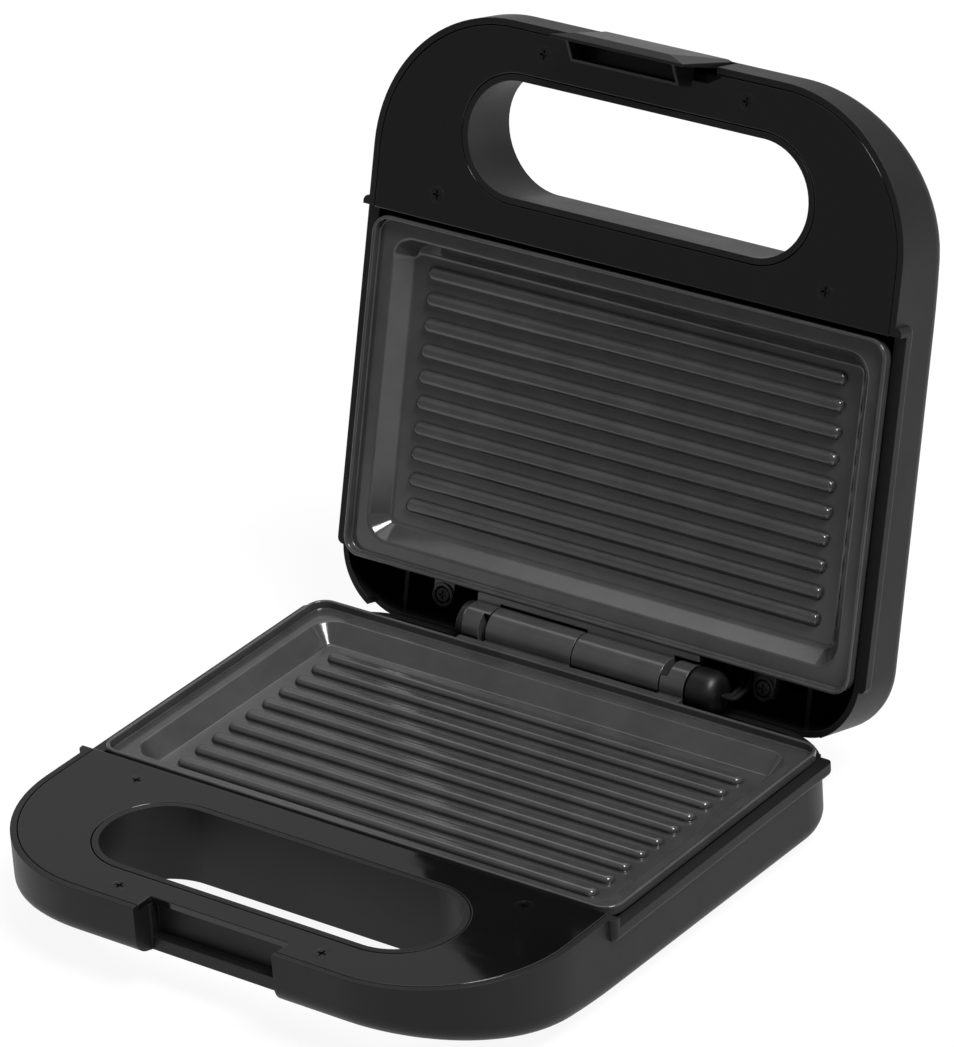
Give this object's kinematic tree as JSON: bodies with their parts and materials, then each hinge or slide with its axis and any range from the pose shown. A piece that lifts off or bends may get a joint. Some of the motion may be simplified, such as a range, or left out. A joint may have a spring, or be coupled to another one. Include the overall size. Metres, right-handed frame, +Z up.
{
  "type": "panini press",
  "caption": "Contact grill that opens like a clam: two shells with open loop handles, ribbed tray plates on a rear hinge and a clip latch on the lid.",
  "frame": {"origin": "middle of the footprint of the open press, on the surface that the feet stand on", "axes": "+X to the right along the hinge, -Y towards the handle of the lower half, +Z up"},
  "size_m": [0.23, 0.2942, 0.2559],
  "materials": {
    "shell": "satin moulded plastic, black",
    "cover": "smooth polished plastic, black",
    "plate": "cast plate with a dark grey non-stick coating",
    "screw_black": "blackened countersunk screws",
    "screw": "zinc plated screws",
    "element": "tubular element, satin steel",
    "shield": "thin bright sheet",
    "thermostat": "pressed metal cup on a metal foot",
    "fuse": "small metal can",
    "block": "pale moulded nylon",
    "lead": "silicone covered wire",
    "foot": "soft black rubber",
    "bushing": "firm black rubber",
    "pin": "ground steel rod",
    "collar": "firm black rubber ring",
    "sleeve": "soft black rubber",
    "lens": "tinted clear plastic",
    "latch": "satin moulded plastic, black"
  },
  "bodies": {
    "base": {"lower_housing": "shell", "lower_cover": "cover", "lower_cover_screws": "screw_black", "lower_plate": "plate", "lower_plate_screws": "screw", "lower_element": "element", "lower_shield": "shield", "thermostat": "thermostat", "thermal_fuse": "fuse", "terminal_block": "block", "lower_leads": "lead", "feet": "foot", "inlet_bushing": "bushing", "hinge_pin": "pin", "pin_collar": "collar", "lead_sleeve": "sleeve"},
    "lid": {"upper_housing": "shell", "upper_cover": "cover", "upper_cover_screws": "screw_black", "upper_plate": "plate", "upper_plate_screws": "screw", "upper_element": "element", "upper_shield": "shield", "upper_leads": "lead", "lamp_lenses": "lens", "latch_pin": "pin"},
    "latch": {"latch": "latch"}
  },
  "joints": [
    {"name": "lid_hinge", "type": "hinge", "parent": "base", "child": "lid", "pos_m": [0, 0.07187, 0.0364], "axis": [1, 0, 0], "range_deg": [0, 105.3]},
    {"name": "latch_pivot", "type": "hinge", "parent": "lid", "child": "latch", "pos_m": [0, 0.13921, 0.24088], "axis": [1, 0, 0], "range_deg": [0, 11]}
  ]
}
